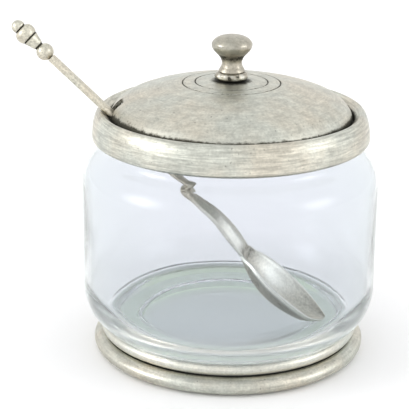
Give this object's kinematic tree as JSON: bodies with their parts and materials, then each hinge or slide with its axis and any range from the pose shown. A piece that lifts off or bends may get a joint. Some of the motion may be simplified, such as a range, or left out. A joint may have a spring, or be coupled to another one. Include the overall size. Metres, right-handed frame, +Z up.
{
  "type": "lidded glass sugar jar",
  "caption": "Round clear glass sugar jar with a pewter foot, collar and lift-off domed lid with turned knob; a cranked pewter spoon with turned finial stands in it through a notch in the lid.",
  "frame": {"origin": "centre of the foot's flat underside, on the jar's axis", "axes": "+Z up along the jar's axis; the notch and the spoon's finial are towards -X and the front is -Y"},
  "size_m": [0.1225, 0.1, 0.1134],
  "materials": {
    "pewter": "satin pewter, softly mottled with age",
    "spoon_pewter": "satin pewter, worn brighter by handling",
    "clear_glass": "clear blown glass with a faint cool tint",
    "screw_steel": "plain steel",
    "jar_cement": "pale hard cement",
    "collar_putty": "grey bedding compound"
  },
  "bodies": {
    "jar": {"foot_base": "pewter", "foot_bezel": "pewter", "base_cement": "jar_cement", "glass_jar": "clear_glass", "collar_bedding": "collar_putty", "rim_collar": "pewter"},
    "lid": {"lid_dome": "pewter", "lid_ring": "pewter", "knob_bead": "pewter", "knob": "pewter", "knob_screw": "screw_steel"},
    "spoon": {"spoon": "spoon_pewter", "spoon_finial": "spoon_pewter"}
  },
  "joints": [
    {"name": "lid_lift", "type": "slide", "parent": "jar", "child": "lid", "axis": [0, 0, 1], "range_m": [0, 0.045]},
    {"name": "spoon_draw", "type": "slide", "parent": "jar", "child": "spoon", "axis": [-0.7324, 0.0737, 0.6769], "range_m": [0, 0.03]}
  ]
}
